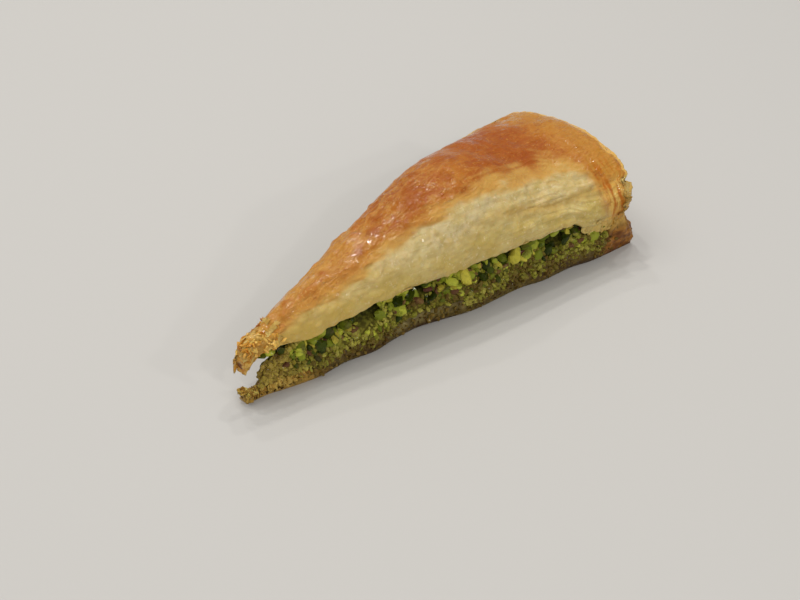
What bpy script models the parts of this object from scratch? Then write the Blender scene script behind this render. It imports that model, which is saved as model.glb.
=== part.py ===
"""A pointed slice of pistachio baklava, cut from a round tray.

The slice is a narrow sector of the tray.  It is three solids: a flat base of soaked pastry
leaves whose browned rim turns up, a bed of chopped pistachio, and a puffed top of pastry
leaves.  At the point the base and the top part like an open mouth.

Every solid is a loft of closed rings.  Each ring lies on an arc about the tray's centre, so a
place is given by its reach (distance from the tray's centre), its span (-1 at the near cut,
+1 at the far cut) and its height.  A ring goes up the near cut, over the top, down the far
cut and back underneath, and both ends close with a face of rows, like the leaves themselves.
"""
import math

import bpy
import numpy as np
from mathutils import Vector, noise

MM = 0.001

# The tray and the cut
TRAY_RADIUS = 167.0 * MM
SLICES_PER_TRAY = 16
HALF_ANGLE = math.pi / SLICES_PER_TRAY
POINT_HALF_WIDTH = 2.3 * MM
FIT_GAP = 0.3 * MM
END_SWELL = 0.9 * MM

# Base pastry
BASE_HEIGHT = 6.6 * MM
BASE_EDGE_ROUND = 1.3 * MM
BASE_WAVE = 0.4 * MM
RIM_LIP_HEIGHT = 15.0 * MM
RIM_LIP_START = 150.5 * MM
RIM_LIP_RISE = 6.0 * MM
NECK_REACH = 9.5 * MM
NECK_LENGTH = 2.2 * MM
NECK_DEPTH = 0.42

# Pistachio filling
FILLING_START = 11.5 * MM
FILLING_END = 149.0 * MM
FILLING_LEAN = 8.0 * MM
FILLING_INSET = 1.2 * MM
NUT_SIZE = 4.5 * MM
NUT_RELIEF = 1.3 * MM

# Top pastry
TOP_START = 0.2 * MM
TOP_END = 164.5 * MM
TOP_OVERHANG = 0.6 * MM
CROWN_SHIFT = 0.04
NEAR_ROUND = 1.9
NEAR_ROUND_AT_RIM = 2.8
FAR_ROUND = 2.5
RIM_SHOULDER_START = 138 * MM
SIDE_TURN = math.radians(66)
CREASE_TURNS = (math.radians(38), math.radians(60))
CREASE_WANDER = math.radians(3)
BUNDLE_SWELL = 1.7 * MM
CRUST_WAVE = 0.5 * MM
CRUST_WAVE_SIZE = 14 * MM
RIM_LEAVES = 6
RIM_RAGGED = 1.8 * MM
RIM_RAGGED_LENGTH = 7.0 * MM
SEAM_DEPTH = 3.0 * MM
SEAM_RISE = 0.15
UNDERSIDE_ARCH = 1.2 * MM
BLISTER_REACH = 123 * MM
BLISTER_SPAN = 0.5
BLISTER_HEIGHT = 1.4 * MM
BLISTER_LENGTH = 15 * MM

# Heights in millimetres against the reach in millimetres
CROWN_HEIGHT = [(0, 21), (3, 24.6), (8, 25), (12, 25), (14.5, 27), (27, 30.6), (45, 34.8), (65, 40),
                (82, 45), (97, 47.6), (108, 46.4), (125, 41.2), (140, 39), (152, 39.2), (161, 39),
                (164.5, 37.4)]
NEAR_EDGE_HEIGHT = [(0, 11), (5, 17), (10, 19.6), (15, 19.8), (24, 17.8), (32, 19.2), (50, 21.4),
                    (66, 22), (82, 21.4), (110, 21.8), (134, 21.6), (141, 15.8), (164.5, 15.6)]
FAR_EDGE_HEIGHT = [(0, 10.5), (5, 14.5), (12, 17), (30, 17.5), (55, 20.4), (90, 19.6), (120, 20.6),
                   (136, 19.8), (143, 16), (164.5, 15.6)]

# How far the foot of each cut bulges out, in millimetres against the reach
NEAR_FOOT_BULGE = [(0, -0.6), (8, 0), (16, 1.2), (27, 2), (40, 0.4), (50, 1), (60, -0.9), (70, -1.9),
                   (80, -0.8), (93, 1), (115, -0.3), (124, 0.8), (137, 0), (147, 1), (167, 0)]
FAR_FOOT_BULGE = [(0, -0.4), (15, 0.8), (30, -0.6), (48, 1.1), (66, 0), (85, -1.2), (105, 0.8),
                  (130, -0.4), (148, 0.9), (167, 0)]

COLLECTION_NAME = "baklava_slice"


def curve_through(points, reach):
    """Smooth curve through (millimetre, millimetre) points, read at reach.

    Cubic Hermite pieces.  The slope at a point is the harmonic mean of the slopes on its two
    sides, or level at a peak or a dip, so the curve never overshoots its points.
    """
    at, value = (np.array(column, dtype=float) * MM for column in zip(*points))
    rise = np.diff(value) / np.diff(at)
    before, after = rise[:-1], rise[1:]
    product = before * after
    harmonic = 2 * product / np.where(product > 0, before + after, 1.0)
    slope = np.concatenate([rise[:1], np.where(product > 0, harmonic, 0.0), rise[-1:]])
    reach = np.clip(reach, at[0], at[-1])
    left = np.clip(np.searchsorted(at, reach, side="right") - 1, 0, len(at) - 2)
    step = at[left + 1] - at[left]
    t = (reach - at[left]) / step
    start = (2 * t ** 3 - 3 * t ** 2 + 1) * value[left] + (t ** 3 - 2 * t ** 2 + t) * step * slope[left]
    end = (3 * t ** 2 - 2 * t ** 3) * value[left + 1] + (t ** 3 - t ** 2) * step * slope[left + 1]
    return start + end


def ease(value, start, length):
    """0 before start, 1 after start + length, an S-curve between."""
    t = np.clip((value - start) / length, 0, 1)
    return t * t * (3 - 2 * t)


def ripple(value, seed, longest, octaves=4):
    """Uneven line between about -1 and 1: sines, each about half the length of the one before."""
    random = np.random.default_rng(seed)
    total = 0.0 * value
    for octave in range(octaves):
        wave = longest * 0.55 ** octave
        total = total + 0.6 ** octave * np.sin(2 * np.pi * value / wave + random.uniform(0, 2 * np.pi))
    return total / 1.8


def swelling(points, size, seed):
    """Soft uneven swelling between about -1 and 1 at each point, as wide as size."""
    offset = Vector((seed * 3.7, seed * 1.3, 0))
    return np.array([noise.noise(Vector(point) / size + offset) for point in points])


def half_width(reach):
    return POINT_HALF_WIDTH + reach * math.sin(HALF_ANGLE)


def place(reach, span, height, outward=0.0):
    """Points on the arc at reach, across it by span, pushed outward past the cut."""
    side = half_width(reach) * span + np.sign(span) * outward
    rim = reach * np.cos(span * HALF_ANGLE)
    return np.stack(np.broadcast_arrays(rim, side, height), axis=-1)


def across(count):
    """Spans of the columns between the two cuts."""
    return np.linspace(-1, 1, count + 2)[1:-1]


def base_top(reach, span):
    """Height of the base pastry's upper face, with the lip at the rim and the neck at the point."""
    lip = ease(reach, RIM_LIP_START, RIM_LIP_RISE)
    wave = BASE_WAVE * ripple(reach + 9 * MM * span, 11, 31 * MM)
    neck = NECK_DEPTH * np.exp(-((reach - NECK_REACH) / NECK_LENGTH) ** 2)
    return (BASE_HEIGHT + (RIM_LIP_HEIGHT - BASE_HEIGHT) * lip + wave * (1 - lip)) * (1 - neck)


def underside(reach, span):
    """Height of the top pastry's underside, highest between the two cuts."""
    share = (span + 1) / 2
    edge = curve_through(NEAR_EDGE_HEIGHT, reach) * (1 - share) + curve_through(FAR_EDGE_HEIGHT, reach) * share
    inner = ease(reach, 20 * MM, 30 * MM) * (1 - ease(reach, 130 * MM, 10 * MM))
    return edge + UNDERSIDE_ARCH * (1 - span ** 2) * inner


def end_face(ring, reach, swell):
    """Points inside an end: rows from the near to the far cut, bowed along the arc and swollen."""
    spans = across(ring["columns"])
    share = ((spans + 1) / 2)[:, None]
    inside = ring["near"][1:-1, None] * (1 - share) + ring["far"][1:-1, None] * share
    rise = np.linspace(0, 1, len(ring["near"]))[1:-1, None]
    inside[..., 0] += reach * (np.cos(spans * HALF_ANGLE) - math.cos(HALF_ANGLE))
    inside[..., 0] += swell * np.sqrt(np.sin(np.pi * rise) * (1 - spans ** 2))
    return inside


def loft(name, stations, ring_at, colour, roughness):
    """One closed solid through the rings at the stations, with a face of rows on each end.

    ring_at gives the near and the far cut from the bottom up, the top and the underside from
    the near cut to the far one.
    """
    rings = [ring_at(reach) for reach in stations]
    rows, columns = len(rings[0]["near"]), rings[0]["columns"]
    loops = [np.concatenate([r["near"], r["top"], r["far"][::-1], r["under"][::-1]]) for r in rings]
    count = len(loops[0])
    ends = [end_face(rings[0], stations[0], -END_SWELL).reshape(-1, 3),
            end_face(rings[-1], stations[-1], END_SWELL).reshape(-1, 3)]
    points = np.concatenate(loops + ends)

    following = np.roll(np.arange(count), -1)
    faces = []
    for row in range(len(loops) - 1):
        here, there = row * count, (row + 1) * count
        faces += [(here + i, there + i, there + j, here + j) for i, j in enumerate(following)]
    for number, first in enumerate((0, (len(loops) - 1) * count)):
        # Indices of the whole end as a table: rows from the bottom up, near cut to far cut
        table = np.empty((rows, columns + 2), dtype=int)
        table[:, 0] = first + np.arange(rows)
        table[-1, 1:-1] = first + rows + np.arange(columns)
        table[:, -1] = first + rows + columns + np.arange(rows)[::-1]
        table[0, 1:-1] = first + 2 * rows + columns + np.arange(columns)[::-1]
        inside = len(loops) * count + number * (rows - 2) * columns
        table[1:-1, 1:-1] = inside + np.arange((rows - 2) * columns).reshape(rows - 2, columns)
        corners = np.stack([table[:-1, :-1], table[1:, :-1], table[1:, 1:], table[:-1, 1:]], axis=-1)
        if number == 1:
            corners = corners[..., ::-1]
        faces += corners.reshape(-1, 4).tolist()

    mesh = bpy.data.meshes.new(name)
    mesh.from_pydata(points.tolist(), [], faces)
    mesh.validate()
    mesh.shade_smooth()
    mesh.set_sharp_from_angle(angle=math.radians(40))
    material = bpy.data.materials.new(name + "_food")
    material.use_nodes = True
    shader = material.node_tree.nodes["Principled BSDF"]
    shader.inputs["Base Color"].default_value = (*colour, 1.0)
    shader.inputs["Roughness"].default_value = roughness
    shader.inputs["Metallic"].default_value = 0.0
    mesh.materials.append(material)
    return bpy.data.objects.new(name, mesh)


def layer_ring(reach, rows, columns, low, high, jut):
    """Ring of a flat layer between the heights low and high; jut pushes each cut outward."""
    rise = np.linspace(0, 1, rows)
    sides = []
    for span in (-1.0, 1.0):
        bottom, top = low(reach, span), high(reach, span)
        sides.append(place(reach, span, bottom + (top - bottom) * rise, jut(reach, span, rise)))
    spans = across(columns)
    top = place(reach, spans, high(reach, spans))
    under = place(reach, spans, low(reach, spans))
    return {"near": sides[0], "far": sides[1], "top": top, "under": under, "columns": columns}


def foot_bulge(reach, span):
    return curve_through(NEAR_FOOT_BULGE if span < 0 else FAR_FOOT_BULGE, reach)


def base_pastry():
    """Flat stack of soaked leaves, browned and turned up at the tray's rim."""
    def floor(reach, span):
        return 0.0 * span

    def jut(reach, span, rise):
        rounding = BASE_EDGE_ROUND * np.abs(2 * rise - 1) ** 3
        return (foot_bulge(reach, span) * (1 - 0.4 * rise) - rounding) * ease(reach, -6 * MM, 20 * MM)

    stations = np.concatenate([np.linspace(0.8 * MM, 14 * MM, 9), np.linspace(17 * MM, 148 * MM, 42),
                               np.linspace(150 * MM, TRAY_RADIUS, 9)])
    return loft("base_pastry", stations, lambda reach: layer_ring(reach, 6, 4, floor, base_top, jut),
                (0.34, 0.19, 0.055), 0.45)


def pistachio_filling():
    """Bed of chopped nuts, solid out to its uneven outline, from the open point to the rim lip."""
    def low(reach, span):
        return base_top(reach, span) + FIT_GAP

    def high(reach, span):
        full = underside(reach, span) - FIT_GAP - low(reach, span)
        front = ease(reach, FILLING_START - 2 * MM, FILLING_LEAN)
        return low(reach, span) + full * (0.3 + 0.7 * front)

    def jut(reach, span, rise):
        flat = np.stack([0.0 * rise + reach, 0.0 * rise + span * 40 * MM, 12 * MM * rise], axis=-1)
        nuts = NUT_RELIEF * swelling(flat, NUT_SIZE, 5)
        return foot_bulge(reach, span) * (1 - rise) - FILLING_INSET * (0.3 + 0.7 * rise) + nuts

    stations = np.linspace(FILLING_START, FILLING_END, 62)
    return loft("pistachio_filling", stations, lambda reach: layer_ring(reach, 7, 3, low, high, jut),
                (0.21, 0.26, 0.035), 0.55)


def leaf_bundles(turn, reach, seed):
    """Bundles of leaves on a cut side: each swells outward between the creases beside it."""
    wander = CREASE_WANDER * ripple(reach, seed, 70 * MM, octaves=3)
    creases = np.array([0.0, *CREASE_TURNS, math.pi / 2]) + wander * np.array([0, 1, 1, 0])
    within = np.interp(turn, creases, np.arange(len(creases)))
    swell = np.sqrt(np.abs(np.sin(np.pi * within)))
    return BUNDLE_SWELL * swell * ease(reach, 10 * MM, 70 * MM)


def rim_edges(rise, seed):
    """Ragged ends of the leaves at the rim, some broken back, most of all above the base's lip."""
    seam = SEAM_DEPTH * np.exp(-(rise / SEAM_RISE) ** 2)
    return RIM_RAGGED * ripple(rise * RIM_LEAVES, seed, 2.2) - seam


def blister(reach, span):
    """Leaf lifted off the crown on its far side, steep towards the point and low behind."""
    along = (reach - BLISTER_REACH) / BLISTER_LENGTH
    along = np.where(along < 0, along * 1.7, along * 0.7)
    return BLISTER_HEIGHT * np.exp(-along ** 4 - ((span - BLISTER_SPAN) / 0.4) ** 2)


def puffed(reach, turn, sign):
    """Points on the puffed top: a quarter of a superellipse from a cut's lower edge to the crown.

    turn is the angle from the lower edge, 0, to the crown, 90 degrees; sign is the cut's side.
    """
    squarer = ease(reach, RIM_SHOULDER_START, TOP_END - RIM_SHOULDER_START)
    power = NEAR_ROUND + (NEAR_ROUND_AT_RIM - NEAR_ROUND) * squarer if sign < 0 else FAR_ROUND
    seed = 21 if sign < 0 else 27
    out, rise = np.cos(turn) ** (2 / power), np.sin(turn) ** (2 / power)
    span = CROWN_SHIFT + (sign - CROWN_SHIFT) * out
    edge = underside(reach, sign)
    height = edge + (curve_through(CROWN_HEIGHT, reach) - edge) * rise + blister(reach, span)
    end = ease(reach, TOP_END - RIM_RAGGED_LENGTH, RIM_RAGGED_LENGTH)
    ragged = end * rim_edges(rise, seed) * np.sqrt(out)
    jut = (TOP_OVERHANG + leaf_bundles(turn, reach, seed)) * out * ease(reach, 0.0, 12 * MM)
    points = place(reach, span, height, jut)
    points[:, 0] += ragged
    points[:, 2] += CRUST_WAVE * swelling(points, CRUST_WAVE_SIZE, 3) * rise
    return points


def top_ring(reach, rows, columns):
    """Ring of the puffed top; the top columns run from the near shoulder over the crown."""
    side = np.linspace(0, SIDE_TURN, rows)
    crown = SIDE_TURN + (math.pi / 2 - SIDE_TURN) * (1 - np.abs(across(columns)))
    near_half = columns // 2
    top = np.concatenate([puffed(reach, crown[:near_half], -1.0), puffed(reach, crown[near_half:], 1.0)])
    spans = across(columns)
    under = place(reach, spans, underside(reach, spans))
    return {"near": puffed(reach, side, -1.0), "far": puffed(reach, side, 1.0), "top": top, "under": under,
            "columns": columns}


def top_pastry():
    """Puffed stack of leaves with a browned crown, cream cut sides and a ragged rim."""
    stations = np.concatenate([np.linspace(TOP_START, 16 * MM, 10), np.linspace(19 * MM, 136 * MM, 36),
                               np.linspace(138.5 * MM, TOP_END, 12)])
    return loft("top_pastry", stations, lambda reach: top_ring(reach, 15, 7), (0.66, 0.38, 0.10), 0.3)


def centre_on_surface(pieces):
    """Move the meshes so that the origin is on the surface, under the middle of the slice."""
    clouds = [np.array([vertex.co for vertex in piece.data.vertices]) for piece in pieces]
    everything = np.concatenate(clouds)
    low, high = everything.min(axis=0), everything.max(axis=0)
    shift = np.array([(low[0] + high[0]) / 2, (low[1] + high[1]) / 2, low[2]])
    for piece, cloud in zip(pieces, clouds):
        piece.data.vertices.foreach_set("co", (cloud - shift).ravel())
        piece.data.update()


for old in list(bpy.data.objects):
    bpy.data.objects.remove(old, do_unlink=True)
collection = bpy.data.collections.new(COLLECTION_NAME)
bpy.context.scene.collection.children.link(collection)
slice_pieces = [base_pastry(), pistachio_filling(), top_pastry()]
for slice_piece in slice_pieces:
    collection.objects.link(slice_piece)
centre_on_surface(slice_pieces)
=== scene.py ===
"""A slice of pistachio baklava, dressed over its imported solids.  Lengths are in millimetres."""
import math

import bpy
import numpy as np
from mathutils import Matrix, Vector


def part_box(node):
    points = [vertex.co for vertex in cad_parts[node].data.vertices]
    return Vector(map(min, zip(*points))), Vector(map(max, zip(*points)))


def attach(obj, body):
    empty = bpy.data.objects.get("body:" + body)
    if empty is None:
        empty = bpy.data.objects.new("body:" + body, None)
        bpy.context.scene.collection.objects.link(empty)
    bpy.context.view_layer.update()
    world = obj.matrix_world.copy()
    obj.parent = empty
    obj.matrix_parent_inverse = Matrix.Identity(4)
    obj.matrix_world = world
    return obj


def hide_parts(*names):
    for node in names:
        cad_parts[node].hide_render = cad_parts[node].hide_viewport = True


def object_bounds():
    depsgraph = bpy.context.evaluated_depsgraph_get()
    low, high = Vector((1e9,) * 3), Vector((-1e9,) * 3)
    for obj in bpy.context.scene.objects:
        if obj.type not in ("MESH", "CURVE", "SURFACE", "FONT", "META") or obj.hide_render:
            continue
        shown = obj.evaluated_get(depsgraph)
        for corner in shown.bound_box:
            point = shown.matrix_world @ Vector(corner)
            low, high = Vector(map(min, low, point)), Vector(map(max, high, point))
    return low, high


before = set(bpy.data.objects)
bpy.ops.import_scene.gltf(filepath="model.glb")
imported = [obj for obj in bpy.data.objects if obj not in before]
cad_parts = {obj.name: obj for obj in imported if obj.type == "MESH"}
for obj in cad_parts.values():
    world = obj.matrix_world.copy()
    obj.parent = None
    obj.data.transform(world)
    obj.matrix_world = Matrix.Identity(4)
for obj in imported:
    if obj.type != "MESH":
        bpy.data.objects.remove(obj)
cad_low, cad_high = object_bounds()
MM = 0.001

# ------------------------------------------------------------
# Base pastry.  A dozen thin leaves lie flat in the tray and soak up the syrup, so they are
# brown, moist and nearly one mass.  At the tray's rim they turn up into a browned lip, and at
# the point they narrow to a ragged stub.
BASE_LOW, BASE_HIGH = (np.array(corner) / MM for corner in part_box("base_pastry"))
TRAY_RADIUS = 167.0
RIM_SWELL = 0.73
TRAY_CENTRE_X = BASE_HIGH[0] - TRAY_RADIUS - RIM_SWELL
HALF_ANGLE = math.pi / 16
POINT_HALF_WIDTH = 2.3
BASE_HEIGHT = 6.6
LIP_HEIGHT = BASE_HIGH[2] - BASE_LOW[2]
LIP_START, LIP_RISE = 150.5, 6.0
NECK_REACH = 9.5
BASE_GRID = (18, 40)
# How far the foot of each cut bulges out, against the reach
NEAR_FOOT = [(0, -0.6), (8, 0), (16, 1.2), (27, 2), (40, 0.4), (50, 1), (60, -0.9), (70, -1.9),
             (80, -0.8), (93, 1), (115, -0.3), (124, 0.8), (137, 0), (147, 1), (167, 0)]
FAR_FOOT = [(0, -0.4), (15, 0.8), (30, -0.6), (48, 1.1), (66, 0), (85, -1.2), (105, 0.8),
            (130, -0.4), (148, 0.9), (167, 0)]


def curve_through(points, reach):
    """Smooth curve through the points: cubic Hermite pieces with harmonic-mean slopes."""
    at, value = np.array(points, dtype=float).T
    rise = np.diff(value) / np.diff(at)
    before, after = rise[:-1], rise[1:]
    product = before * after
    harmonic = 2 * product / np.where(product > 0, before + after, 1.0)
    slope = np.concatenate([rise[:1], np.where(product > 0, harmonic, 0.0), rise[-1:]])
    reach = np.clip(reach, at[0], at[-1])
    left = np.clip(np.searchsorted(at, reach, side="right") - 1, 0, len(at) - 2)
    step = at[left + 1] - at[left]
    t = (reach - at[left]) / step
    eased = value[left] + np.diff(value)[left] * t * t * (3 - 2 * t)
    return eased + step * t * (1 - t) * ((1 - t) * slope[left] - t * slope[left + 1])


def ease(value, start, length):
    """0 before start, 1 after start + length, and the S-curve 3t^2 - 2t^3 between."""
    t = np.clip((value - start) / length, 0, 1)
    return t * t * (3 - 2 * t)


def bump(value, middle, width):
    """Bell curve: 1 at the middle, falling as the square of the distance in widths."""
    return np.exp(-((value - middle) / width) ** 2)


def ripple(value, seed, longest, octaves=4):
    """Uneven line between about -1 and 1: sines, each about half the length of the one before."""
    random = np.random.default_rng(seed)
    total = 0.0 * value
    for octave in range(octaves):
        wave = longest * 0.55 ** octave
        total = total + 0.6 ** octave * np.sin(2 * np.pi * value / wave + random.uniform(0, 2 * np.pi))
    return total / 1.8


def rough(points, size, seed):
    """Soft random relief from -1 to 1: seeded heights on a lattice, eased from one to the next."""
    lattice = np.random.default_rng(seed).uniform(-1, 1, (32, 32, 32))
    cell = points / size + 57.31 + seed
    low = np.floor(cell).astype(int)
    t = ease(cell - low, 0, 1)
    total = 0.0
    for corner in np.ndindex(2, 2, 2):
        share = np.prod(np.where(corner, t, 1 - t), axis=-1)
        index = (low + corner) % 32
        total = total + share * lattice[index[..., 0], index[..., 1], index[..., 2]]
    return total


def roughs(points, *layers):
    """Sum of layers of rough relief, each given as its height, size and seed."""
    return sum(height * rough(points, size, seed) for height, size, seed in layers)


def half_width(reach):
    return POINT_HALF_WIDTH + reach * math.sin(HALF_ANGLE)


def place(reach, span, height, outward=0.0):
    """Points on the arc at reach about the tray's centre; span is -1 at the near cut, 1 at the far."""
    side = half_width(reach) * span + np.sign(span) * outward
    along = TRAY_CENTRE_X + reach * np.cos(span * HALF_ANGLE)
    return np.stack(np.broadcast_arrays(along, side, height), axis=-1)


def from_centre(points):
    """Distance from the tray's centre, seen from above."""
    return np.hypot(points[..., 0] - TRAY_CENTRE_X, points[..., 1])


def across(count):
    """Spans of the columns between the two cuts."""
    return np.linspace(-1, 1, count + 2)[1:-1]


def on_face(layer, reach, span, rise, deep=0.0):
    """Points on a cut of a layer, or deep inside it.

    A layer is its lower height, its upper height and how far its cuts stand out, all functions
    of reach and span, the last of them of the rise between the two heights as well.
    """
    low, high, jut = layer
    height = low(reach, span) + (high(reach, span) - low(reach, span)) * rise
    return place(reach, span, height, jut(reach, span, rise) - deep)


def layer_rings(reach, grid, layer):
    """Rings of a layer: up the near cut, over the top, down the far cut and back below.

    grid is the number of rows up a cut and of columns between the cuts.
    """
    reach = reach[:, None]
    spans = across(grid[1])[None]
    near, far = (on_face(layer, reach, span, np.linspace(0, 1, grid[0])[None]) for span in (-1.0, 1.0))
    share = (spans + 1) / 2
    faces = []
    for level, row in ((layer[1], -1), (layer[0], 0)):
        face = place(reach, spans, level(reach, spans))
        face[..., 1] = near[:, row, None, 1] * (1 - share) + far[:, row, None, 1] * share
        faces.append(face)
    return np.concatenate([near, faces[0], far[:, ::-1], faces[1][:, ::-1]], axis=1)


def raised(rings, relief):
    """Rings moved along their normals: the run along the slice crossed with the run round the ring."""
    normal = np.cross(np.gradient(rings, axis=0), np.roll(rings, -1, axis=1) - np.roll(rings, 1, axis=1))
    normal /= np.maximum(np.linalg.norm(normal, axis=-1, keepdims=True), 1e-6)
    return rings + normal * relief[..., None]


def on_cuts(grid, trim=0):
    """1 on a ring's two cuts, but for trim points at each of their edges, and 0 above and below."""
    return np.tile(np.pad(np.ones(grid[0] - 2 * trim), (trim, trim + grid[1])), 2)


def quads_of(table):
    """Four-corner faces between the neighbours in a table of vertex numbers."""
    corners = table[:-1, :-1], table[1:, :-1], table[1:, 1:], table[:-1, 1:]
    return np.stack(corners, axis=-1).reshape(-1, 4)


def wrapped(table):
    return np.hstack([table, table[:, :1]])


def closed_layer(rings, grid, swells, roughen=None):
    """Points and quads of a solid of closed rings, with its ends at the point and at the rim filled.

    Inside an end each row runs from the near to the far cut, bowed and swollen, and roughen,
    told whether this is the rim, moves its points.
    """
    rows, columns = grid
    spans, rise = across(columns), np.linspace(0, 1, rows)[1:-1, None]
    share = ((spans + 1) / 2)[:, None]
    index = np.arange(rings[..., 0].size).reshape(rings.shape[:2])
    points, quads, used = [rings.reshape(-1, 3)], [quads_of(wrapped(index))], index.size
    for end, turn in ((0, 1), (-1, -1)):
        near, over, far, under = np.split(index[end], np.cumsum([rows, columns, rows]))
        table = np.empty((rows, columns + 2), dtype=int)
        table[:, 0], table[-1, 1:-1], table[:, -1], table[0, 1:-1] = near, over, far[::-1], under[::-1]
        table[1:-1, 1:-1] = used + np.arange((rows - 2) * columns).reshape(rows - 2, columns)
        inside = points[0][table[1:-1, :1]] * (1 - share) + points[0][table[1:-1, -1:]] * share
        reach = max(rings[end, :, 0].mean() - TRAY_CENTRE_X, 0)
        inside[..., 0] += reach * (np.cos(spans * HALF_ANGLE) - math.cos(HALF_ANGLE))
        inside[..., 0] += swells[end] * np.sqrt(np.sin(np.pi * rise) * (1 - spans ** 2))
        if roughen:
            roughen(inside, end == -1)
        points.append(inside.reshape(-1, 3))
        quads.append(quads_of(table)[:, ::turn])
        used += len(points[-1])
    return np.concatenate(points), np.concatenate(quads)


def mesh_of(name, points, *faces):
    """Mesh object at the origin from an array of points and tables of faces, in metres at last."""
    mesh = bpy.data.meshes.new(name)
    mesh.from_pydata((points * MM).tolist(), [], [face for table in faces for face in table.tolist()])
    mesh.validate()
    mesh.shade_smooth()
    piece = bpy.data.objects.new(name, mesh)
    bpy.context.scene.collection.objects.link(piece)
    return piece


def remember(piece, name, values):
    """Stores one number for each vertex, for the piece's material to read."""
    layer = piece.data.attributes.new(name, "FLOAT", "POINT")
    layer.data.foreach_set("value", np.ascontiguousarray(values, dtype=np.float32).ravel())


class Wire:
    """One output of a shader node.  + - * with a number or another wire add Math nodes."""

    def __init__(self, tree, socket):
        self.tree, self.socket = tree, socket

    def node(self, kind, settings=None, inputs=None, output=0):
        """Adds a node: its settings first, then a value or a wire for each socket."""
        made = self.tree.nodes.new("ShaderNode" + kind)
        for name, value in (settings or {}).items():
            if name == "stops":
                ramp = made.color_ramp
                while len(ramp.elements) < len(value):
                    ramp.elements.new(0.5)
                for stop, (position, colour) in zip(ramp.elements, value.items()):
                    stop.position, stop.color = position, (*colour, 1.0)
            else:
                setattr(made, name, value)
        for name, value in (inputs or {}).items():
            socket = made.inputs[name]
            if isinstance(value, Wire):
                self.tree.links.new(value.socket, socket)
            elif isinstance(socket.default_value, float):
                socket.default_value = value
            else:
                socket.default_value = (*value, 1.0)[:len(socket.default_value)]
        return Wire(self.tree, made.outputs[output])

    def maths(self, operation, first, second=0.0):
        return self.node("Math", {"operation": operation}, {0: first, 1: second})

    def __add__(self, other):
        return self.maths("ADD", self, other)

    def __sub__(self, other):
        return self.maths("SUBTRACT", self, other)

    def __rsub__(self, other):
        return self.maths("SUBTRACT", other, self)

    def __mul__(self, other):
        return self.maths("MULTIPLY", self, other)

    __radd__, __rmul__ = __add__, __mul__

    def size(self):
        return self.maths("ABSOLUTE", self)

    def above(self, start, length):
        """0 below start, 1 above start + length, an S-curve between."""
        return self.node("MapRange", {"interpolation_type": "SMOOTHSTEP"},
                         {"Value": self, "From Min": start, "From Max": start + length})

    def bell(self, middle, width):
        """1 where this is at middle, falling to 0 at a width to each side."""
        return 1 - ((self - middle) * (1 / width)).size().above(0.0, 1.0)

    def folded(self, sharpness):
        """Ridge lines where this noise crosses its middle, 1 at the top and sharper by sharpness."""
        return 1 - (self * 2 - 1).size() * sharpness

    def tint(self, none, full, blend="MIX"):
        """Colour that goes from none to full, or to their product, as this wire goes from 0 to 1."""
        return self.node("Mix", {"data_type": "RGBA", "blend_type": blend},
                         {"Factor": self, 6: none, 7: full}, output=2)

    def stored(self, name, output=2):
        """Number kept at each vertex, or its vector with output 1."""
        return self.node("Attribute", {"attribute_name": name}, output=output)

    def axis(self, number):
        """One coordinate of this position, in metres."""
        return self.node("SeparateXYZ", None, {0: self}, output=number)

    def ramp(self, stops):
        """Colour along the stops, each a position and its colour, as this wire goes from 0 to 1."""
        return self.node("ValToRGB", {"stops": stops}, {"Fac": self})

    def speckle(self, wide, stretch=(1, 1, 1), detail=3.0, roughness=0.55):
        """Cloudy noise from 0 to 1 on this position, its blobs about wide millimetres wide."""
        scale = tuple(1.0 / (wide * MM * s) for s in stretch)
        scaled = self.node("VectorMath", {"operation": "MULTIPLY"}, {0: self, 1: scale})
        return self.node("TexNoise", None, {"Vector": scaled, "Scale": 1.0, "Detail": detail,
                                            "Roughness": roughness})


def painted(colour, coats):
    """Colour under coats, each given as the wire that says how far it covers and its colour."""
    for cover, coat in coats:
        colour = cover.tint(colour, coat)
    return colour


def food(name, coat, coat_rough, soft, scatter, shine=0.22):
    """New material, whose scatter is in metres, with its shader and a wire of the position on it."""
    material = bpy.data.materials.new(name)
    material.use_nodes = True
    tree = material.node_tree
    shader = tree.nodes["Principled BSDF"]
    for socket, value in {"Coat Weight": coat, "Coat Roughness": coat_rough, "Coat IOR": 1.45,
                          "Specular IOR Level": shine, "Subsurface Weight": soft,
                          "Subsurface Radius": scatter, "Subsurface Scale": 1.0}.items():
        shader.inputs[socket].default_value = value
    where = tree.nodes.new("ShaderNodeTexCoord")
    return material, shader, Wire(tree, where.outputs["Object"])


def finish(shader, colour, roughness, relief, depth):
    """Joins colour, roughness and a bump of the given depth to the shader."""
    links = shader.id_data.links
    links.new(colour.socket, shader.inputs["Base Color"])
    if isinstance(roughness, Wire):
        links.new(roughness.socket, shader.inputs["Roughness"])
    else:
        shader.inputs["Roughness"].default_value = roughness
    bumped = colour.node("Bump", None, {"Strength": 1.0, "Distance": depth * MM, "Height": relief})
    links.new(bumped.socket, shader.inputs["Normal"])


def foot_bulge(reach, span):
    return curve_through(NEAR_FOOT if span < 0 else FAR_FOOT, reach)


def broken_off(reach, span):
    """How far the far cut stops short behind the point, where the soaked leaves have broken away."""
    gone = ease(reach, 1, 3.5) * (1 - ease(reach, 10, 16))
    return np.where(np.asarray(span) > 0, 1.15, 0.0) * half_width(reach) * gone


def base_jut(reach, span, rise):
    """How far a cut of the base stands out: the foot's bulge, rounded off below and above."""
    rounding = 1.3 * np.abs(2 * rise - 1) ** 3 + 2.2 * ease(reach, LIP_START, 8) * ease(rise, 0.5, 0.5) ** 2
    jut = (foot_bulge(reach, span) * (1 - 0.4 * rise) - rounding) * ease(reach, -6, 20)
    return jut - broken_off(reach, span)


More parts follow.
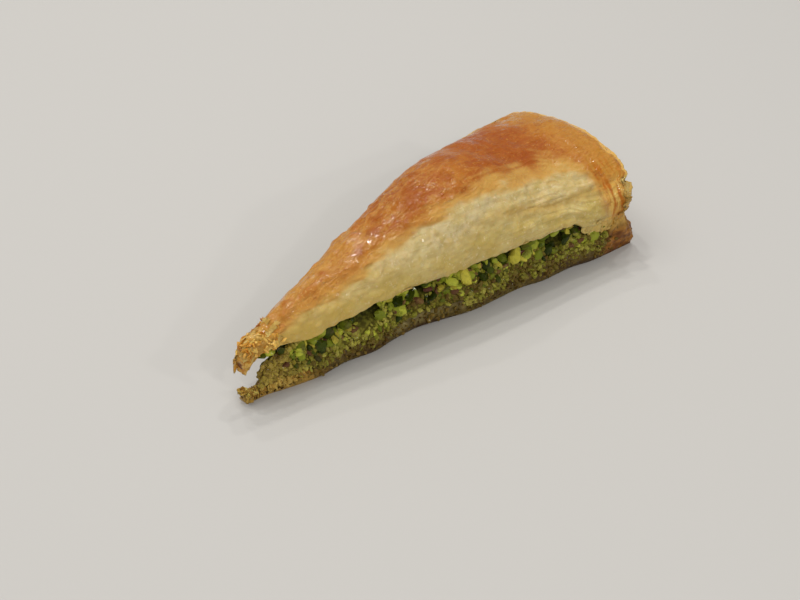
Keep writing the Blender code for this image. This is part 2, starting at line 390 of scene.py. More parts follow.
def base_crown(reach, span):
    """The base's upper face: flat, raised and rolled over at the lip, pinched at the neck of the stub."""
    lip = ease(reach, LIP_START, LIP_RISE)
    wave = 0.4 * ripple(reach + 9 * span, 11, 31)
    level = BASE_HEIGHT + (LIP_HEIGHT - BASE_HEIGHT) * lip + wave * (1 - lip)
    level = level * (1 - 0.42 * bump(reach, NECK_REACH, 2.2))
    crest = 1.7 * bump(reach, 158.5, 4.5) - 5.5 * ease(reach, 159.5, 8) ** 2
    uneven = 0.5 * ripple(reach + 40 * span, 34, 6) * ease(reach, 154, 6)
    slant = reach - 3.75 * (span + 1)
    stub = 3.0 * (1 - ease(slant, 5, 2.4)) - 1.6 * bump(slant, 9.5, 2.5)
    return np.maximum(level + crest + uneven - stub, 2.6)


def across_base(reach, span, height):
    """Points like those of place, whose far side keeps to what is left of the base."""
    points = place(reach, span, height)
    points[..., 1] -= broken_off(reach, 1.0) * (span + 1) / 2
    return points


def leafy_rim(inside, at_rim):
    """Draws the edges of the leaves on the end face of the lip."""
    leaves = np.sin(2 * np.pi * (inside[..., 2] + 0.5 * rough(inside, 5, 35)) / 1.3)
    inside[..., 0] += at_rim * (0.35 * rough(inside, 1.5, 33) + 0.15 * leaves - 0.3)


base_reach = np.concatenate([np.linspace(0.8, 20, 40), np.linspace(20.6, 166.4, 244)])
base_rings = layer_rings(base_reach, BASE_GRID, (lambda reach, span: 0.0, base_crown, base_jut))
leaf_edges = np.sin(2 * np.pi * base_rings[..., 2] / 0.9 + 2.5 * rough(base_rings, 9, 4))
cut_relief = roughs(base_rings, (0.45, 3.2, 31), (0.35, 1.4, 32)) + 0.14 * leaf_edges - 0.35
stub_relief = roughs(base_rings, (0.9, 2.4, 36), (0.4, 1.1, 37)) - 0.3
lip_relief = roughs(base_rings, (1.0, 3.4, 38), (0.6, 1.7, 39)) - 0.4
base_relief = (cut_relief * on_cuts(BASE_GRID) + stub_relief * (1 - ease(base_reach, 8, 8))[:, None]
               + lip_relief * ease(base_reach, 152, 6)[:, None])
base_rings = raised(base_rings, base_relief * ease(base_rings[..., 2], 0.1, 1.2))
base_points, base_quads = closed_layer(base_rings, BASE_GRID, (-0.5, 0.7), leafy_rim)
base = mesh_of("base_leaves", base_points, base_quads)
reach, height = from_centre(base_points), base_points[:, 2]
dry = np.maximum(1 - ease(reach, 4, 12), 1 - ease(height, 2.5, 3))
remember(base, "rim", ease(reach, LIP_START - 2, 8))
remember(base, "tip", dry * (1 - ease(reach, 22, 14)))
remember(base, "pale", bump(reach, 73, 17) * ease(height, 1.8, 2.2) * (base_points[:, 1] < 0))

base_food, base_shader, where = food("soaked_leaves", 0.2, 0.2, 0.1, (0.0015, 0.0007, 0.0003))
at_rim, at_tip = where.stored("rim"), where.stored("tip")
patch = where.speckle(9, stretch=(2.5, 1, 1)).above(0.38, 0.25)
crumb = where.speckle(1.6, detail=5).above(0.35, 0.35)
streaks = where.speckle(2.4, stretch=(1.6, 1.6, 0.8), detail=4).above(0.4, 0.25)
lip_colour = streaks.tint((0.17, 0.055, 0.006), (0.36, 0.145, 0.016))
# Upper part of the lip lighter gold: partly its own bake, partly a painted highlight where its top catches
# the light
lip_colour = where.axis(2).above(8 * MM, 6 * MM).tint(lip_colour, (0.58, 0.34, 0.06))
base_colour = painted(patch.tint((0.065, 0.03, 0.005), (0.15, 0.105, 0.016)), [
    (where.stored("pale") * 0.9, patch.tint((0.23, 0.175, 0.05), (0.32, 0.255, 0.085))),
    (at_tip, (0.4, 0.235, 0.04)),
    (at_rim, lip_colour),
    (crumb * (0.55 - at_tip * 0.3 - at_rim * 0.2), (0.03, 0.013, 0.003)),
])
finish(base_shader, base_colour, crumb * 0.25 + 0.32, where.speckle(0.7, detail=4), 0.25)
base.data.materials.append(base_food)
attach(base, "root")
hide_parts("base_pastry")

# ------------------------------------------------------------
# Pistachio bed, inner mass.  The nuts are chopped coarse and spread thick on the base, and the
# finest of them pack into a damp green-brown meal that holds the heap together.
FILLING_START, FILLING_END = 11.5, 149.0
FILLING_INSET = 1.2
FIT_GAP = 0.3
CORE_GRID = (20, 12)
# Heights of the top pastry's lower edges, against the reach
NEAR_EDGE = [(0, 12), (4, 17.6), (7, 19.6), (10, 20.2), (15, 19.8), (24, 17.8), (32, 19.2), (50, 21.4),
             (66, 22), (82, 21.4), (110, 21.8), (133, 21.6), (142, 17.4), (152, 16.6), (159, 18.2),
             (164.5, 19.0)]
FAR_EDGE = [(0, 11.5), (4, 15.6), (12, 17.4), (30, 17.5), (55, 20.4), (90, 19.6), (120, 20.6),
            (136, 19.8), (144, 17), (158, 17.4), (164.5, 18.4)]


def underside(reach, span):
    """Height of the top pastry's underside, highest between the two cuts."""
    share = (span + 1) / 2
    edge = curve_through(NEAR_EDGE, reach) * (1 - share) + curve_through(FAR_EDGE, reach) * share
    inner = ease(reach, 20, 30) * (1 - ease(reach, 130, 10))
    return edge + 1.2 * (1 - span ** 2) * inner


def bed_low(reach, span):
    return base_crown(reach, span) + FIT_GAP


def bed_high(reach, span):
    """Top of the heap: it rises from the point in two steps, later at the far cut than at the near."""
    low = bed_low(reach, span)
    start = FILLING_START + 0.5 + 5.0 * (1 + span)
    full = 0.12 + 0.38 * ease(reach, start - 6, 3) + 0.5 * ease(reach, start, 9)
    return low + (underside(reach, span) - FIT_GAP - low) * full


def bed_face(reach, span, rise):
    """How far the heap's own face stands out from the cut: the foot's bulge fades with the height."""
    hollow = 3.6 + 1.4 * ripple(reach + 50 * span, 123, 38)
    jut = foot_bulge(reach, span) * (1 - np.maximum(rise, 0)) - FILLING_INSET * (0.3 + hollow * rise ** 2)
    return jut - broken_off(reach, span)


def core_jut(reach, span, rise):
    """The core's face lies inside the heap's, by at most three quarters of the way to the middle."""
    jut = bed_face(reach, span, rise) - 0.3 - 3.6 * ease(rise, 0.25, 0.35)
    return np.maximum(jut, -np.maximum(0.75 * half_width(reach), broken_off(reach, span)))


core_reach = np.linspace(FILLING_START - 3.5, FILLING_END + 2.0, 230)
core_rings = layer_rings(core_reach, CORE_GRID, (bed_low, bed_high, core_jut))
core_relief = roughs(core_rings, (0.5, 2.2, 41), (0.35, 1.1, 42))
core_rings = raised(core_rings, core_relief * on_cuts(CORE_GRID, trim=1))
core = mesh_of("pistachio_mass", *closed_layer(core_rings, CORE_GRID, (-0.8, 0.8)))

core_food, core_shader, where = food("nut_mass", 0.0, 0.3, 0.05, (0.001, 0.001, 0.0003), shine=0.05)
grain = where.speckle(1.3, detail=4).above(0.4, 0.25)
meal_colour = grain.tint((0.09, 0.075, 0.012), (0.2, 0.18, 0.025))
# Above 11 mm the core is near black: painted shade in the gaps between nuts and under the top pastry's
# overhang
gap_shade_colour = grain.tint((0.01, 0.012, 0.002), (0.045, 0.05, 0.006))
core_colour = where.axis(2).above(11 * MM, 5 * MM).tint(meal_colour, gap_shade_colour)
finish(core_shader, core_colour, 0.5, where.speckle(0.9, detail=3), 0.4)
core.data.materials.append(core_food)
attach(core, "root")
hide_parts("pistachio_filling")

# ------------------------------------------------------------
# Chopped pistachios, kind by kind.  Each is a kernel cut flat by a knife a few times: bright
# green where it is cut, with its thin purple or dark green skin where it is not.
BED = (bed_low, bed_high, bed_face)
BED_ENDS = (FILLING_START + 1.0, FILLING_END + 3.5)
BED_TALL, BED_LONG = 14, 137
# The open point: how far it reaches at the middle, and the height of what stays under its roof
POINT_REACH, NEAR_ROOF, FAR_ROOF = 20, 12.4, 8.6
HOLLOWS_FROM = 12
# A knife's cuts, in shares of the ball's radius, and the angle of an edge that looks sharp
CUT_DEPTHS = (0.38, 0.82)
SHARP_ANGLE = math.radians(27)


def scatter(count, seed, rises, deep, layer=BED, ends=BED_ENDS, lean=7):
    """Centres of count pieces spread evenly over both cut faces of a layer, the bed if none is given.

    They lie on staggered rows with each place shifted at random, between the two rises, and up
    to deep inside the layer's face.  At the point the rows above start farther in, by lean in
    the middle, less at the near cut and more at the far one.
    """
    random = np.random.default_rng(seed)
    rows = max(1, round(math.sqrt(count / 2 * (rises[1] - rises[0]) * BED_TALL / BED_LONG)))
    along = math.ceil(count / 2 / rows)
    number = np.arange(rows * along)
    row = number // along
    sides = []
    for sign in (-1.0, 1.0):
        step = (number % along + 0.5 * (row % 2) + random.uniform(-0.1, 0.6, len(number))) / along
        reach = ends[0] + (ends[1] - ends[0]) * np.clip(step, 0, 1)
        rise = rises[0] + (rises[1] - rises[0]) * (row + random.uniform(0.1, 0.9, len(number))) / rows
        shift = (1 - ease(reach, ends[0], 22)) * (0.5 + 0.5 * rise)
        reach = reach + lean * (1 + 0.5 * sign) * shift
        sides.append(on_face(layer, reach, sign, rise, deep * random.uniform(0, 1, len(number)) ** 1.5))
    return np.concatenate(sides)


def with_hollows(centres):
    """The centres less those over the open point and in a few hollows above the meal, dark with painted
    shade.
    """
    reach, height = from_centre(centres), centres[:, 2]
    span = centres[:, 1] / half_width(reach)
    hollow = (rough(centres, 6, 55) < -0.30) & (height > HOLLOWS_FROM)
    point = (reach < POINT_REACH + 4.5 * span) & (height > np.where(span < -0.4, NEAR_ROOF, FAR_ROOF))
    return centres[~(hollow | point)]


def turned(random, count):
    """Random rotations as 3 by 3 matrices, from random unit quaternions."""
    quaternion = random.normal(size=(4, count)) + 1e-9
    w, x, y, z = quaternion / np.linalg.norm(quaternion, axis=0)
    rows = [[1 - 2 * (y * y + z * z), 2 * (x * y - z * w), 2 * (x * z + y * w)],
            [2 * (x * y + z * w), 1 - 2 * (x * x + z * z), 2 * (y * z - x * w)],
            [2 * (x * z - y * w), 2 * (y * z + x * w), 1 - 2 * (x * x + y * y)]]
    return np.moveaxis(np.array(rows), -1, 0)


def chopped(name, centres, lengths, proportions, seed, material, grid=(5, 10), cuts=7):
    """One mesh of nut pieces: balls cut flat by random planes, squashed, turned and put in place.

    Along a direction the surface is at the nearest of the planes, or at the ball's own radius,
    which is skin.  lengths is the range of the pieces' longest sizes, and grid the ball's number
    of rings and of meridians.  Neighbours tend to be of like tone.
    """
    random = np.random.default_rng(seed)
    count, (rings, meridians) = len(centres), grid
    polar = np.pi * np.arange(1, rings + 1)[:, None] / (rings + 1)
    azimuth = 2 * np.pi * np.arange(meridians) / meridians
    round_about = np.sin(polar) * np.cos(azimuth), np.sin(polar) * np.sin(azimuth), np.cos(polar)
    ball = np.stack(np.broadcast_arrays(*round_about), axis=-1).reshape(-1, 3)
    ball = np.concatenate([ball, [[0, 0, 1], [0, 0, -1]]])
    knife = random.normal(size=(count, cuts, 3))
    knife /= np.linalg.norm(knife, axis=-1, keepdims=True)
    facing = np.einsum("md,ncd->nmc", ball, knife)
    depth = random.uniform(*CUT_DEPTHS, (count, 1, cuts))
    radius = np.minimum(np.where(facing > 0.05, depth / np.maximum(facing, 0.05), 9.0).min(axis=-1), 1.0)
    shape = ball * radius[..., None] * proportions * random.uniform(*lengths, (count, 1, 1)) / 2
    points = np.einsum("nij,nmj->nmi", turned(random, count), shape) + centres[:, None]
    table = np.arange(rings * meridians).reshape(rings, meridians)
    beside, pole = np.roll(table, -1, axis=1), np.full(meridians, table.size)
    caps = np.array([[pole, table[0], beside[0]], [pole + 1, beside[-1], table[-1]]])
    first = np.arange(count)[:, None, None] * len(ball)
    faces = (face + first for face in (quads_of(wrapped(table)), caps.transpose(0, 2, 1).reshape(-1, 3)))
    piece = mesh_of(name, points.reshape(-1, 3), *(face.reshape(-1, face.shape[2]) for face in faces))
    piece.data.set_sharp_from_angle(angle=SHARP_ANGLE)
    tone = 0.5 + 0.8 * rough(centres, 7, seed) + random.uniform(-0.5, 0.5, count)
    remember(piece, "tone", np.repeat(np.clip(tone, 0, 1), len(ball)))
    remember(piece, "skin", ease(radius, 0.9, 0.1))
    piece.data.materials.append(material)
    return piece


def nut_food(name, stops, skin, roughness=0.3, soft=0.15, toasted=0.0):
    """Pistachio: stops give the flesh's colour from piece to piece, skin the uncut outside.

    toasted is how far the pieces at the slice's point take on the colour of baked crumbs.
    """
    material, shader, where = food(name, 0.2, 0.12, soft, (0.001, 0.0012, 0.0003), shine=0.05)
    tone = where.stored("tone")
    mottle = where.speckle(1.1)
    from_point = where.axis(0).above((TRAY_CENTRE_X + 11) * MM, 15 * MM)
    colour = painted(tone.ramp(stops), [
        (mottle.above(0.45, 0.3) * 0.3, (0.1, 0.11, 0.02)),
        (where.stored("skin") * where.speckle(4).above(0.45, 0.15) * 0.6, skin),
        ((1 - from_point) * toasted, tone.tint((0.15, 0.085, 0.014), (0.46, 0.31, 0.065))),
    ])
    finish(shader, colour, mottle * 0.2 + roughness, where.speckle(0.5), 0.10)
    return material


GREENS = {0.0: (0.018, 0.028, 0.002), 0.3: (0.07, 0.095, 0.006), 0.65: (0.21, 0.24, 0.018),
          1.0: (0.48, 0.5, 0.055)}
green_food = nut_food("green_kernel", GREENS, (0.075, 0.055, 0.018))
skin_food = nut_food("skinned_kernel", {0.0: (0.1, 0.035, 0.022), 1.0: (0.2, 0.11, 0.035)},
                     (0.085, 0.022, 0.018), 0.35)
yellow_food = nut_food("yellow_kernel", {0.0: (0.34, 0.3, 0.03), 1.0: (0.55, 0.48, 0.06)},
                       (0.3, 0.22, 0.03))
# Four of the small pieces are stuck under the leaves at the open point
stuck = place(np.array([8.2, 10.4, 12.2, 14.4]), np.array([-0.5, -0.7, -0.6, -0.8]),
              np.array([16.6, 16.8, 17.0, 16.6]))
small_pieces = np.concatenate([with_hollows(scatter(330, 52, (0.12, 0.98), 1.6)), stuck])
# The two long yellow kernels lie open in the near cut
long_kernels = place(np.array([88.0, 108.5]), -1.0, np.array([16.8, 18.6]), 0.8)
NUT_KINDS = {
    "green_pieces": (with_hollows(scatter(270, 51, (0.34, 0.93), 2.6, lean=9)), (4.6, 8.2),
                     (1.0, 0.8, 0.62), 61, green_food),
    "small_green_pieces": (small_pieces, (2.6, 4.6), (1.0, 0.8, 0.6), 62, green_food),
    "skinned_pieces": (with_hollows(scatter(120, 53, (0.3, 1.0), 1.4, lean=9)), (3.0, 5.6),
                       (1.0, 0.8, 0.5), 63, skin_food),
    "yellow_slivers": (with_hollows(scatter(40, 54, (0.45, 0.9), 0.4, lean=9)), (5.4, 8.0),
                       (1.0, 0.5, 0.4), 64, yellow_food),
    "long_kernels": (long_kernels, (9.0, 10.5), (1.0, 0.5, 0.45), 529, yellow_food),
}
for kind, recipe in NUT_KINDS.items():
    nuts = chopped(kind, *recipe)
    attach(nuts, "root")

# ------------------------------------------------------------
# Nut meal.  Crumbs of nut a millimetre or two across, stuck together with syrup and butter, fill
# the lower part of the bed and every gap between the larger pieces.
CRUMB_GRID = (4, 7)
CLEAN_MIDDLE, CLEAN_HALF = 74, 14


def heap_jut(reach, span, rise):
    """The heap's face, at the point no farther in than half way to the middle."""
    return np.maximum(bed_face(reach, span, rise), -0.5 * half_width(reach))


low_meal = with_hollows(scatter(1200, 71, (0.0, 0.6), 1.0, ends=(6.5, BED_ENDS[1]), lean=4))
high_meal = with_hollows(scatter(160, 72, (0.5, 1.0), 2.4))
spilt = scatter(800, 78, (-0.24, 0.12), 0.9, lean=2)
# None has spilt over one clean stretch of the near cut
spilt = spilt[(np.abs(from_centre(spilt) - CLEAN_MIDDLE) > CLEAN_HALF) | (spilt[:, 1] > 0)]
# At the point the heap falls away in a slope between the two cuts
random = np.random.default_rng(80)
span = random.uniform(-0.95, 0.95, 520)
reach = FILLING_START + random.uniform(-6.0, 9.5, 520) + 5.0 * (1 + span)
slope = across_base(reach, span, bed_high(reach, span) - 0.2)
# On the near cut the meal stands in a small heap of its own in front of the nuts, with a steep back
span, reach = random.uniform(-0.9, 0.3, 190), random.uniform(7.5, 17, 190)
back = across_base(reach, span, bed_high(reach, span) - 0.1)
reach, rise = random.uniform(6.8, 17, 130), random.uniform(0.2, 1.0, 130)
heap = with_hollows(on_face((bed_low, bed_high, heap_jut), reach, -1.0, rise))
# It lies thick on the heap's far wall behind the point, and on the steep slope down to that wall
random_far = np.random.default_rng(81)
reach, rise = random_far.uniform(7.0, 21, 150), random_far.uniform(0.05, 1.0, 150)
wall = on_face((bed_low, bed_high, core_jut), reach, 1.0, rise)
reach, span = random_far.uniform(7.5, 24, 170), random_far.uniform(-1, 1, 170)
steep = place(reach, span, bed_high(reach, span))
near, far = (side * (half_width(reach) + core_jut(reach, side, 1.0)) for side in (-1.0, 1.0))
steep[:, 1] = near + (far - near) * (span + 1) / 2

MEAL_TONES = {0.0: (0.13, 0.085, 0.016), 0.3: (0.19, 0.155, 0.022), 0.7: (0.245, 0.235, 0.028),
              1.0: (0.38, 0.34, 0.06)}
meal_food = nut_food("nut_crumb", MEAL_TONES, (0.13, 0.065, 0.025), 0.4, 0.35, 0.65)
for kind, centres, seed in (("nut_meal", (low_meal, high_meal, spilt, slope, back, heap), 73),
                            ("far_meal", (wall, with_hollows(steep)), 82)):
    centres = np.concatenate(centres)
    meal = chopped(kind, centres, (1.4, 4.0), (1.0, 0.8, 0.6), seed, meal_food, CRUMB_GRID, 9)
    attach(meal, "root")

# ------------------------------------------------------------
# Crumbs of soaked pastry and nut.  The knife breaks them off the leaves, and they stick along
# both cuts of the base, the driest and most golden of them at the point.
CRUMB_FOOT = 1.3


def crumb_foot(reach, span):
    return CRUMB_FOOT


def crumb_face(reach, span, rise):
    return base_jut(reach, span, rise) + 0.5 * (1 - ease(reach, 100, 20))


crumb_centres = scatter(560, 74, (0.0, 1.0), 0.9, (crumb_foot, base_crown, crumb_face), (1.5, 158), 0.0)
bright_sides = scatter(240, 76, (0.35, 1.0), 0.5, (crumb_foot, base_crown, base_jut), (1.0, 24), 0.0)
span, reach = random.uniform(-0.9, 0.9, 120), random.uniform(0.8, 20, 120)
bright_top = across_base(reach, span, base_crown(reach, span) + 0.1)
bright_centres = np.concatenate([bright_sides, bright_top])
CRUMB_TONES = {0.0: (0.06, 0.028, 0.006), 0.5: (0.13, 0.08, 0.014), 1.0: (0.21, 0.135, 0.028)}
BRIGHT_TONES = {0.0: (0.19, 0.085, 0.014), 0.5: (0.36, 0.205, 0.036), 1.0: (0.54, 0.37, 0.085)}
crumb_food = nut_food("pastry_crumb", CRUMB_TONES, (0.12, 0.06, 0.015), 0.4)
bright_food = nut_food("golden_crumb", BRIGHT_TONES, (0.32, 0.16, 0.024), 0.4)
CRUMB_KINDS = {
    "pastry_crumbs": (crumb_centres, (1.0, 2.8), (1.0, 0.75, 0.45), 77, crumb_food),
    "golden_crumbs": (bright_centres, (1.4, 4.2), (1.0, 0.7, 0.3), 79, bright_food),
}
for kind, recipe in CRUMB_KINDS.items():
    crumbs = chopped(kind, *recipe, CRUMB_GRID, 8)
    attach(crumbs, "root")

# ------------------------------------------------------------
# Top pastry.  Many buttered leaves puff up in the oven: the crown is glazed and browned, with
# blisters and wrinkles, and the cut sides show the cream edges of the leaves in three bundles.
# At the rim and at the point the leaves end ragged and brown.
TOP_LOW, TOP_HIGH = (np.array(corner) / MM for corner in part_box("top_pastry"))
TOP_START, TOP_END = 0.2, 164.5
SIDE_TURN = math.radians(66)
CROWN = [(0, 21), (3, 24.6), (8, 25), (12, 25), (14.5, 27), (27, 30.6), (45, 34.8), (65, 40), (82, 45),
         (97, 47.6), (108, 46.4), (125, 41.2), (140, 39), (152, 39.1), (160, 38.6), (164.5, 37.4)]
# Where the browned crust gives way to the cream cut, in degrees of turn against the reach
NEAR_CRUST = [(0, 5), (12, 30), (20, 46), (42, 46), (53, 51), (64, 57), (80, 54), (100, 54), (130, 57),
              (142, 56), (148, 44), (154, -20), (165, -60)]
FAR_CRUST = [(0, 20), (15, 24), (40, 24), (80, 20), (110, 24), (146, 28), (154, 10), (159, -30), (165, -60)]
# Notches and teeth of the rim: length, rise and width
RIM_TEETH = [(-2, 0, 0.12), (-2.6, 0.60, 0.035), (-2, 0.22, 0.03), (1.6, 0.52, 0.03), (1.8, 0.33, 0.025)]
# Scorched blisters on the crown: reach, distance from the middle line and radius
SCORCHED = [(61, 0.5, 2.6), (77, -1.5, 4.2), (82, 3.0, 3.4), (94, -2.6, 2.2), (52, -3, 1.2), (66, 4, 2.2),
            (104, 6, 2.4), (70, -6, 1.8), (113, -3, 1.8), (38, 1, 1.2), (88, 9, 2.6)]
TOP_GRID = TOP_ROWS, TOP_COLUMNS = 100, 48


def leaf_bundles(turn, reach, seed):
    """Swell of the three bundles of leaves on a cut side, nothing at the creases between them."""
    wander = math.radians(3) * ripple(reach, seed, 70, octaves=3)
    first, second = math.radians(33) + wander, math.radians(58) + wander
    within = np.where(turn < first, turn / first,
                      np.where(turn < second, 1 + (turn - first) / (second - first),
                               2 + (turn - second) / (np.pi / 2 - second)))
    swell = np.sqrt(np.abs(np.sin(np.pi * within)))
    inner = np.clip(2.2 - np.abs(within - 1.5) * 1.6, 0, 1)
    filled = inner * (1 - 0.6 * ease(reach, 98, 25) * ease(-within, -1.6, 0.4))
    return 1.7 * (swell + (0.88 - swell) * filled) * ease(reach, 10, 70), within


def rim_edges(rise, seed):
    """How far the leaves' ends stand out at the rim, against the rise: short below, with torn notches."""
    teeth = sum(length * bump(rise, middle, width) for length, middle, width in RIM_TEETH)
    return 0.9 * ripple(rise * 6, seed, 1.1, octaves=3) - 4.6 * (1 - ease(rise, 0.45, 0.3)) + teeth


def blister(reach, span):
    along = (reach - 123) / 15
    along = along * np.where(along < 0, 2.4, 0.7)
    return 1.6 * np.exp(-along ** 6 - ((span - 0.5) / 0.4) ** 2)


def puffed(reach, turn, sign):
    """Points on the puffed top: a quarter of a superellipse from a lower edge (0) to the crown (90)."""
    squarer = ease(reach, 138, TOP_END - 138)
    power, seed = (1.9 + 0.6 * squarer, 21) if sign < 0 else (2.5 - 0.55 * squarer, 27)
    out, rise = np.cos(turn) ** (2 / power), np.sin(turn) ** (2 / power)
    span = 0.04 + (sign - 0.04) * out
    edge = underside(reach, sign)
    smooth = sum(underside(reach + away, sign) for away in (-18, -9, 0, 9, 18)) / 5
    body = edge + (smooth - edge) * ease(rise, 0.0, 0.22) * ease(reach, 60, 40)
    height = body + (curve_through(CROWN, reach) - body) * rise + blister(reach, span)
    swell, within = leaf_bundles(turn, reach, seed)
    points = place(reach, span, height, (0.6 + swell) * out * ease(reach, 0.0, 12))
    points[..., 0] += ease(reach, TOP_END - 10, 10) * rim_edges(rise, seed) * np.sqrt(out)
    points[..., 2] += 0.45 * rough(points, 14, 3) * rise
    return points, np.broadcast_to(within, points.shape[:-1])


def torn_end(inside, at_rim):
    """Draws the torn edges of the leaves on the end faces, deeper at the rim."""
    layer = np.mod(inside[..., 2] / 1.3 + 1.2 * rough(inside * (0, 0.3, 1), 3, 93), 1.0)
    inside[..., 0] += (0.45 if at_rim else 0.18) * (layer - 0.6 + rough(inside, 1.6, 94))


def drawn(stretch, lay, apart, size, seed):
    """Rough relief drawn out along the slice by stretch; apart keeps the two cuts' reliefs unlike."""
    points = np.stack(np.broadcast_arrays(top_reach / stretch, lay, on_near * apart), axis=-1)
    return rough(points, size, seed)


top_reach = np.concatenate([np.linspace(TOP_START, 20, 44), np.linspace(20.6, 150, 206),
                            np.linspace(150.4, TOP_END, 40)])[:, None]
side_turn = np.linspace(0, SIDE_TURN, TOP_ROWS)
crown_turn = SIDE_TURN + (math.pi / 2 - SIDE_TURN) * (1 - np.abs(across(TOP_COLUMNS)))
half = TOP_COLUMNS // 2
near_turn = np.concatenate([side_turn, crown_turn[:half]])
far_turn = np.concatenate([crown_turn[half:], side_turn[::-1]])
near_points, near_within = puffed(top_reach, near_turn, -1.0)
far_points, far_within = puffed(top_reach, far_turn, 1.0)
under_span = across(TOP_COLUMNS)[None, ::-1]
under_points = place(top_reach, under_span, underside(top_reach, under_span))
top_rings = np.concatenate([near_points, far_points, under_points], axis=1)
top_within = np.concatenate([near_within, far_within, np.zeros(under_points.shape[:2])], axis=1)
top_turn = np.concatenate([near_turn, far_turn, np.zeros(TOP_COLUMNS)])
# Round a ring: 1 on the near half, and 1 on all but the underside
on_near = np.repeat([1.0, 0.0], [TOP_ROWS + half, TOP_ROWS + half + TOP_COLUMNS])
seen = np.repeat([1.0, 0.0], [2 * TOP_ROWS + TOP_COLUMNS, TOP_COLUMNS])
# How far round the ring each point is from the near lower edge, measured along the surface
steps = np.linalg.norm(np.diff(top_rings, axis=1), axis=-1)
top_lay = np.cumsum(np.pad(steps, ((0, 0), (1, 0))), axis=1)

edge_turn = np.where(on_near > 0, curve_through(NEAR_CRUST, top_reach), curve_through(FAR_CRUST, top_reach))
past_edge = top_turn - np.radians(edge_turn + 2.2 * ripple(top_reach + 60 * on_near, 81, 17))
fringe = drawn(5, top_lay, 20, 1.2, 96)
tongues = drawn(1.6, top_lay, 80, 3.4, 128) * (1 - 0.6 * ease(top_reach, 95, 30))
crust = ease(past_edge + 0.05 * fringe + 0.05 * tongues, -0.05, 0.20) * seen
golden = ease(past_edge + 0.06 * fringe + 0.11 * tongues, -0.14, 0.22) * seen
brown = past_edge + 0.10 * fringe + 0.08 * rough(top_rings, 7, 122) - 0.10 * ease(top_reach, 95, 30)
tip, torn_tip = 1 - ease(top_reach, 5, 14), 1 - ease(top_reach, 9, 7)
rim = ease(top_reach, 144.5, 9) * (1 - 0.65 * ease(top_turn, math.radians(48), 0.3))
rim = rim * (0.5 + 0.5 * ease(top_turn, 0.0, 0.3))
cut_side = 1 - ease(top_turn, math.radians(45), 0.3)

# Cut sides: the leaves' edges make fine steps along the slice, and the stack is rumpled across
leaf_phase = top_lay / 1.25 + 1.4 * drawn(9, top_lay, 40, 3.5, 82) + 0.5 * drawn(9, top_lay, 40, 1.4, 83)
leaf_step = 1 - np.mod(leaf_phase, 1.0) ** 1.6
leaf_out = drawn(6, np.floor(leaf_phase) * 7, 50, 2.2, 84)
rumple = drawn(1, top_lay / 4, 30, 1.6, 85)
loose_part = 2.3 * ease(top_reach, 88, 28)
cut_relief = ((0.35 + loose_part) * (0.03 * (leaf_step - 0.5) + 0.07 * leaf_out + 0.08 * rumple)
              + 0.28 * loose_part * drawn(3, top_lay, 70, 2.6, 120)
              + roughs(top_rings, (0.34, 5, 86), (0.5, 2.6, 95), (0.24, 1.3, 98)))

# Crust: broad swells, blisters, wrinkles drawn out along the slice and fine crinkles
blisters = np.clip(rough(top_rings, 3.2, 87) - 0.05, 0, 1) ** 0.8 * (1 - 0.6 * ease(top_reach, 88, 20))
uneven = 1 + 0.6 * rough(top_rings, 1.5, 99)
scorch = sum(np.exp(-uneven * (np.hypot(top_reach - at_reach, top_rings[..., 1] - at_side) / radius) ** 2)
             for at_reach, at_side, radius in SCORCHED)
scorch = np.clip(scorch, 0, 1) * seen
wrinkles = 1 - np.abs(rough(top_rings * (0.3, 1.0, 1.0), 2.4, 88))
crinkles = 1 - np.abs(rough(top_rings, 1.3, 89))
crumple = 1 - 0.55 * ease(top_reach, 88, 20)
crust_relief = (0.35 * rough(top_rings, 9, 90) + 0.70 * blisters + 0.36 * crumple * (wrinkles - 0.6)
                + 0.05 * crumple * (crinkles - 0.6) + 0.35 * scorch + 0.12 * (1 - ease(past_edge, 0.0, 0.25))
                - 0.30 + rim * cut_side * (0.75 * drawn(1, top_lay / 5, 60, 3.0, 97) - 0.2))
leaf_steps = 1 - np.mod(top_rings[..., 2] / 1.7 + 0.8 * rough(top_rings, 4, 124), 1.0)
tip_relief = roughs(top_rings, (0.9, 2.6, 125), (0.5, 1.2, 126)) + 0.5 * leaf_steps - 0.5
relief = (cut_relief * (1 - crust) + crust_relief * crust) * (1 - 0.5 * torn_tip) + tip_relief * torn_tip
top_rings = raised(top_rings, relief * seen * ease(top_reach, 0.0, 3))

# Ends: each leaf stops at its own place, which the rings near the point and the rim share out
x, y, z = np.moveaxis(top_rings, -1, 0)
torn = rough(np.stack([y / 3, z * 1.6, 0 * y], axis=-1), 1.5, 91) + 0.6 * rough(top_rings, 0.9, 92)
x += 0.55 * torn * (ease(top_reach, 158, 6) + ease(top_reach, 0.0, 5) - 1)
x += 0.7 * (1 - ease(top_reach, 0.0, 4)) - 0.5 * ease(top_reach, 160, 4)
z += (1 - ease(top_turn, 0.0, 0.35)) * (0.35 + 0.75 * torn_tip) * rough(top_rings, 1.7, 127)
np.clip(z, TOP_LOW[2] + 0.05, TOP_HIGH[2] - 0.05, out=z)
np.clip(y, TOP_LOW[1] + 0.02, TOP_HIGH[1] - 0.02, out=y)
top_points, top_quads = closed_layer(top_rings, TOP_GRID, (-0.5, 0.3), torn_end)
top = mesh_of("puffed_leaves", top_points, top_quads)
